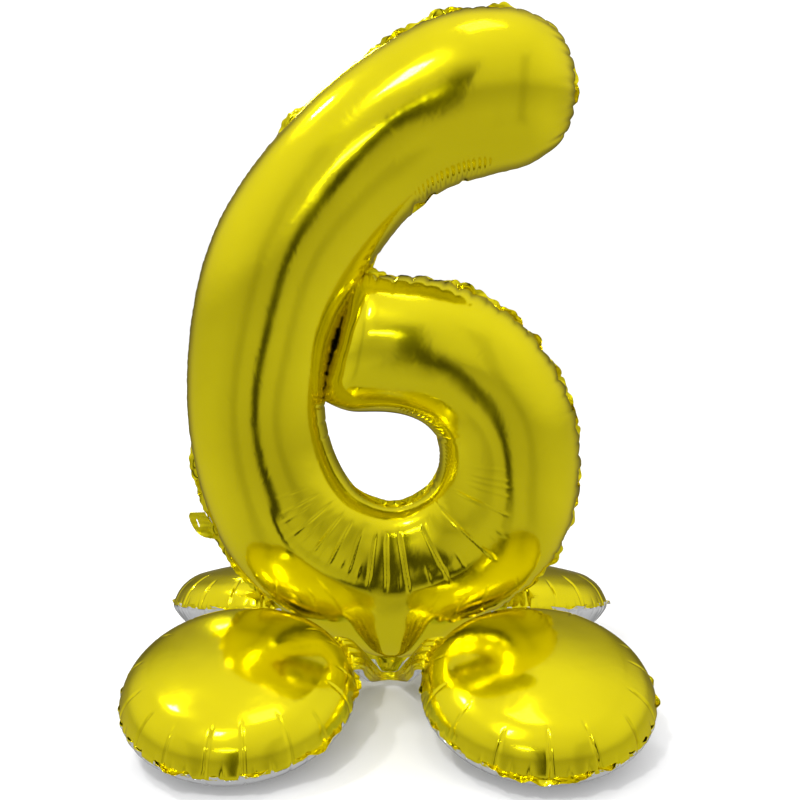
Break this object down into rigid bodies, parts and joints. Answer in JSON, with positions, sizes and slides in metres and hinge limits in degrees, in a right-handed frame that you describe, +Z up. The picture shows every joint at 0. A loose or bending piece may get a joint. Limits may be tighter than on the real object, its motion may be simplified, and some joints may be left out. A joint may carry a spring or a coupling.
{
  "type": "foil number balloon",
  "caption": "Air-filled mirror-foil balloon shaped as the figure six, standing on a folded base of round foil lobes joined at a gathered neck.",
  "frame": {"origin": "on the floor plane, under the middle of the base", "axes": "+Z up to the top of the figure, +Y from the readable face to the back, +X to the right of a viewer who reads the figure"},
  "size_m": [0.524, 0.4676, 0.716],
  "materials": {
    "gold_film": "metallised lemon-gold mirror film",
    "silver_film": "metallised silver film",
    "clear_film": "clear thin film"
  },
  "bodies": {
    "base": {"front_neck_gold_film": "gold_film", "front_neck_silver_film": "silver_film", "back_neck_gold_film": "gold_film", "back_neck_silver_film": "silver_film"},
    "figure": {"number_front_film": "gold_film", "number_back_film": "gold_film", "number_valve_front_ply": "clear_film", "number_valve_back_ply": "clear_film", "joining_tab": "gold_film"},
    "figure_tail": {"number_tail_front_ply": "gold_film", "number_tail_back_ply": "gold_film"},
    "front_left_lobe": {"front_left_gold_film": "gold_film", "front_left_silver_film": "silver_film"},
    "front_right_lobe": {"front_right_gold_film": "gold_film", "front_right_silver_film": "silver_film", "front_valve_upper_ply": "clear_film", "front_valve_lower_ply": "clear_film"},
    "back_left_lobe": {"back_left_gold_film": "gold_film", "back_left_silver_film": "silver_film", "back_valve_upper_ply": "clear_film", "back_valve_lower_ply": "clear_film"},
    "back_right_lobe": {"back_right_gold_film": "gold_film", "back_right_silver_film": "silver_film"},
    "front_tail": {"front_tail_gold_ply": "gold_film", "front_tail_silver_ply": "silver_film"},
    "back_tail": {"back_tail_gold_ply": "gold_film", "back_tail_silver_ply": "silver_film"}
  },
  "joints": [
    {"name": "figure_lean", "type": "hinge", "parent": "base", "child": "figure", "pos_m": [0, 0, 0.014], "axis": [1, 0, 0], "range_deg": [-2, 2], "stiffness_Nm_per_rad": 1.5},
    {"name": "front_left_flex", "type": "hinge", "parent": "base", "child": "front_left_lobe", "pos_m": [-0.036, -0.062, 0.06], "axis": [-0.6298, 0.7768, 0], "range_deg": [-3, 3], "stiffness_Nm_per_rad": 0.5},
    {"name": "front_right_flex", "type": "hinge", "parent": "base", "child": "front_right_lobe", "pos_m": [0.036, -0.062, 0.06], "axis": [-0.6298, -0.7768, 0], "range_deg": [-3, 3], "stiffness_Nm_per_rad": 0.5},
    {"name": "back_left_flex", "type": "hinge", "parent": "base", "child": "back_left_lobe", "pos_m": [-0.036, 0.062, 0.06], "axis": [0.6298, 0.7768, 0], "range_deg": [-3, 3], "stiffness_Nm_per_rad": 0.5},
    {"name": "back_right_flex", "type": "hinge", "parent": "base", "child": "back_right_lobe", "pos_m": [0.036, 0.062, 0.06], "axis": [0.6298, -0.7768, 0], "range_deg": [-3, 3], "stiffness_Nm_per_rad": 0.5},
    {"name": "figure_tail_flap", "type": "hinge", "parent": "figure", "child": "figure_tail", "pos_m": [-0.19, 0, 0.184], "axis": [0.4691, 0, -0.8832], "range_deg": [-35, 35], "stiffness_Nm_per_rad": 0.0005},
    {"name": "front_tail_flap", "type": "hinge", "parent": "front_right_lobe", "child": "front_tail", "pos_m": [0.146, -0.00889, 0.08247], "axis": [1, 0, 0], "range_deg": [-12, 12], "stiffness_Nm_per_rad": 0.0005},
    {"name": "back_tail_flap", "type": "hinge", "parent": "back_left_lobe", "child": "back_tail", "pos_m": [-0.146, 0.00889, 0.08247], "axis": [1, 0, 0], "range_deg": [-12, 12], "stiffness_Nm_per_rad": 0.0005}
  ]
}
